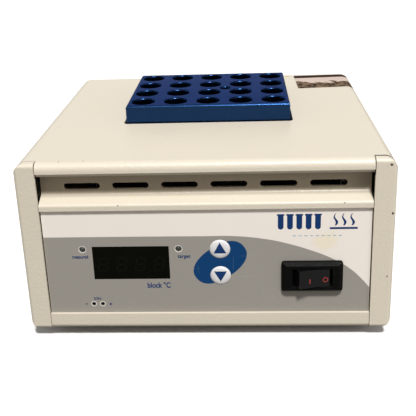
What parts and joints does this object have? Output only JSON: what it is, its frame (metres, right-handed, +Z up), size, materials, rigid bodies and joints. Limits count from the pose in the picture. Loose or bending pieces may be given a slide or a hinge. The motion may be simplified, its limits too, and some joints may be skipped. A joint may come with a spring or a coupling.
{
  "type": "dry bath incubator",
  "caption": "Bench-top dry bath heater with a lift-out tube block, sloped vent recess, display, two keys, rocker power switch and rear mains inlet.",
  "frame": {"origin": "centre of the footprint on the surface that the feet stand on", "axes": "+X to the right seen from the front, front faces -Y, +Z up"},
  "size_m": [0.192, 0.1856, 0.1112],
  "materials": {
    "housing_paint": "satin textured paint",
    "zinc_steel": "zinc plated",
    "screw_steel": "zinc plated",
    "foot_rubber": "matte",
    "label_film": "printed film, satin",
    "smoked_window": "smoked, gloss",
    "black_plastic": "matte",
    "lamp_lens": "diffused",
    "key_cap": "satin",
    "circuit_board": "solder mask",
    "standoff_brass": "plain",
    "trimmer_blue": "matte",
    "trim_brass": "plain",
    "ivory_plastic": "matte",
    "switch_black": "satin",
    "rocker_black": "gloss",
    "contact_metal": "tinned",
    "black_screw": "black",
    "fuse_glass": "clear",
    "core_steel": "varnished laminations",
    "coil_tape": "tape",
    "bare_aluminium": "mill finish",
    "terminal_green": "matte",
    "ribbon_grey": "satin",
    "lead_black": "satin",
    "lead_green": "satin",
    "blue_anodised": "blue anodised, satin",
    "silicone_mat": "matte",
    "insulation_wool": "fibrous"
  },
  "bodies": {
    "housing": {"cover": "housing_paint", "front_panel": "housing_paint", "rear_panel": "housing_paint", "base_pan": "zinc_steel", "bottom_screws": "screw_steel", "rear_screws": "screw_steel", "feet": "foot_rubber", "foot_screws": "screw_steel", "label": "label_film", "display_window": "smoked_window", "display_module": "black_plastic", "led_left": "lamp_lens", "led_right": "lamp_lens", "key_switches": "black_plastic", "control_board": "circuit_board", "board_standoffs": "standoff_brass", "board_screws": "screw_steel", "controller_chip": "black_plastic", "trimmer_left": "trimmer_blue", "trimmer_right": "trimmer_blue", "ribbon_socket": "ivory_plastic", "switch_housing": "switch_black", "switch_terminals": "contact_metal", "inlet_housing": "switch_black", "inlet_pins": "contact_metal", "inlet_screws": "black_screw", "transformer_core": "core_steel", "transformer_coil": "coil_tape", "transformer_screws": "screw_steel", "power_board": "circuit_board", "power_standoffs": "standoff_brass", "power_screws": "screw_steel", "triac": "black_plastic", "heat_sink": "bare_aluminium", "terminal_block": "terminal_green", "earth_stud": "standoff_brass", "ribbon_cable": "ribbon_grey", "mains_leads": "lead_black", "earth_lead": "lead_green", "well_pan": "zinc_steel", "heater_plate": "bare_aluminium", "heater_mat": "silicone_mat", "insulation": "insulation_wool", "well_brackets": "zinc_steel", "bracket_screws": "screw_steel", "thermal_cutout": "bare_aluminium", "temperature_probe": "screw_steel"},
    "block": {"tube_block": "blue_anodised"},
    "up_key": {"key_up": "key_cap"},
    "down_key": {"key_down": "key_cap"},
    "rocker": {"switch_rocker": "rocker_black"},
    "left_trimmer_screw": {"trim_screw_left": "trim_brass"},
    "right_trimmer_screw": {"trim_screw_right": "trim_brass"},
    "drawer": {"fuse_drawer": "switch_black", "fuses": "fuse_glass"}
  },
  "joints": [
    {"name": "block_lift", "type": "slide", "parent": "housing", "child": "block", "axis": [0, 0, 1], "range_m": [0, 0.06]},
    {"name": "up_key_press", "type": "slide", "parent": "housing", "child": "up_key", "axis": [0, 1, 0], "range_m": [0, 0.00045], "stiffness_N_per_m": 600, "springref_m": -0.0006},
    {"name": "down_key_press", "type": "slide", "parent": "housing", "child": "down_key", "axis": [0, 1, 0], "range_m": [0, 0.00045], "stiffness_N_per_m": 600, "springref_m": -0.0006},
    {"name": "rocker_tip", "type": "hinge", "parent": "housing", "child": "rocker", "pos_m": [0.05472, -0.08521, 0.0368], "axis": [0, 0, -1], "range_deg": [0, 22]},
    {"name": "left_trimmer_turn", "type": "hinge", "parent": "housing", "child": "left_trimmer_screw", "pos_m": [-0.06106, -0.08421, 0.0204], "axis": [0, 1, 0], "range_deg": [-135, 135]},
    {"name": "right_trimmer_turn", "type": "hinge", "parent": "housing", "child": "right_trimmer_screw", "pos_m": [-0.05626, -0.08421, 0.0204], "axis": [0, 1, 0], "range_deg": [-135, 135]},
    {"name": "drawer_pull", "type": "slide", "parent": "housing", "child": "drawer", "axis": [0, 1, 0], "range_m": [0, 0.02]}
  ]
}
